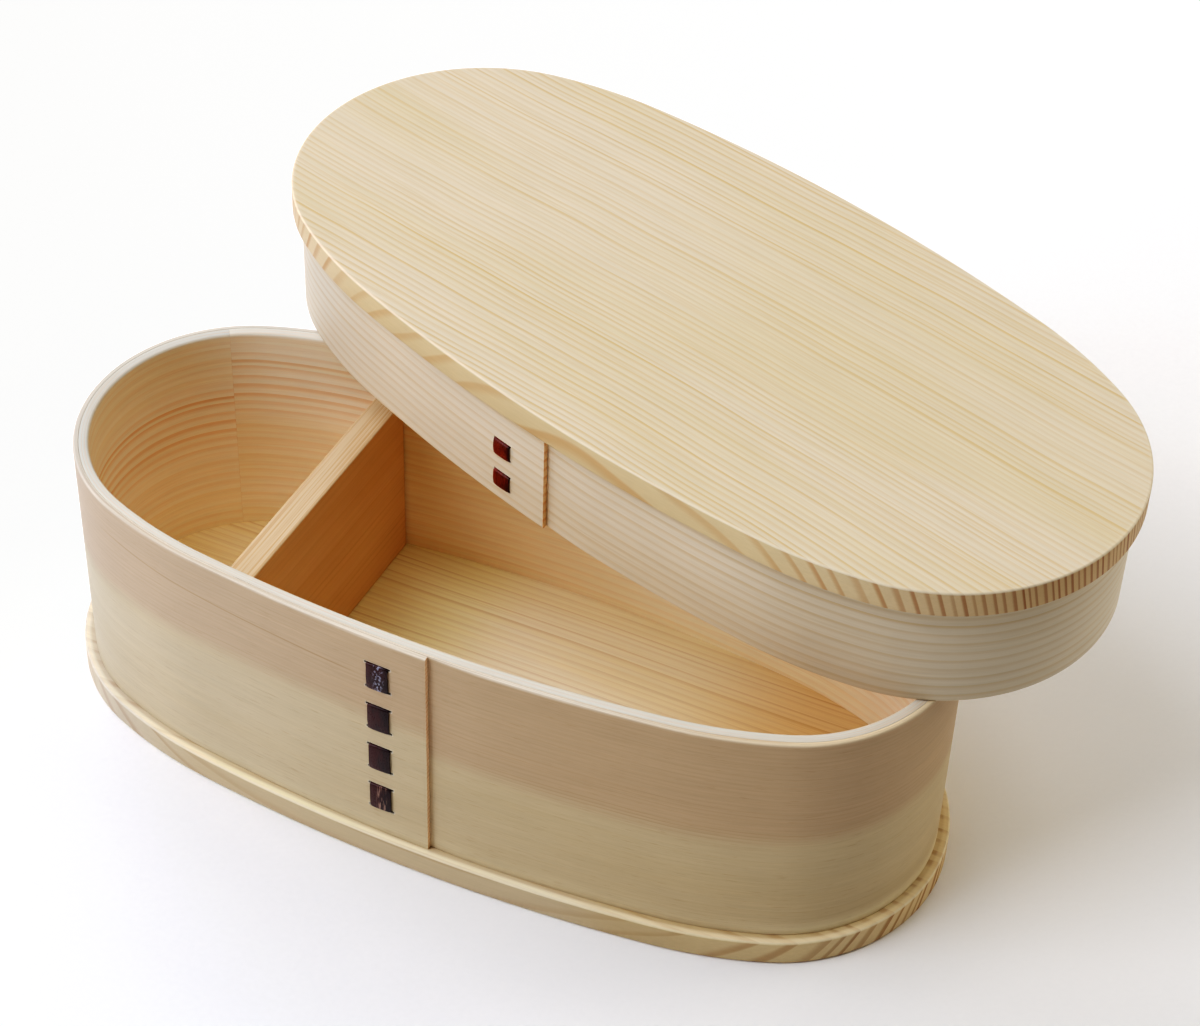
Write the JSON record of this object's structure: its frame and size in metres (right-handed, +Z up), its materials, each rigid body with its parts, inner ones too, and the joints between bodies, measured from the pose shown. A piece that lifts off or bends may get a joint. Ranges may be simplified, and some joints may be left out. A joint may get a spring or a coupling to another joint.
{
  "type": "oval bentwood lunch box",
  "caption": "Oval bentwood lunch box: thin laced wooden bands on a flat base board, a loose divider inside, and a lift-off lid with its own band laid askew on the rim.",
  "frame": {"origin": "centre of the base board's underside", "axes": "+X along the box's length, +Y from the laced front to the back, +Z up"},
  "size_m": [0.2048, 0.1414, 0.0854],
  "materials": {
    "board_wood": "planed bare wood, straight grain, satin",
    "band_wood": "planed bare wood, fine grain along the band, satin",
    "liner_wood": "planed bare wood, grain along the band, satin",
    "bark": "polished dark red bark, glossy"
  },
  "bodies": {
    "box": {"base_board": "board_wood", "outer_band": "band_wood", "inner_band": "liner_wood", "body_lacing": "bark"},
    "divider": {"divider": "board_wood"},
    "lid": {"lid_board": "board_wood", "lid_band": "band_wood", "lid_lacing": "bark"}
  },
  "joints": [
    {"name": "lid_lift", "type": "slide", "parent": "box", "child": "lid", "axis": [0, 0, 1], "range_m": [0, 0.1]},
    {"name": "divider_slide", "type": "slide", "parent": "box", "child": "divider", "axis": [1, 0, 0], "range_m": [0, 0.079]}
  ]
}
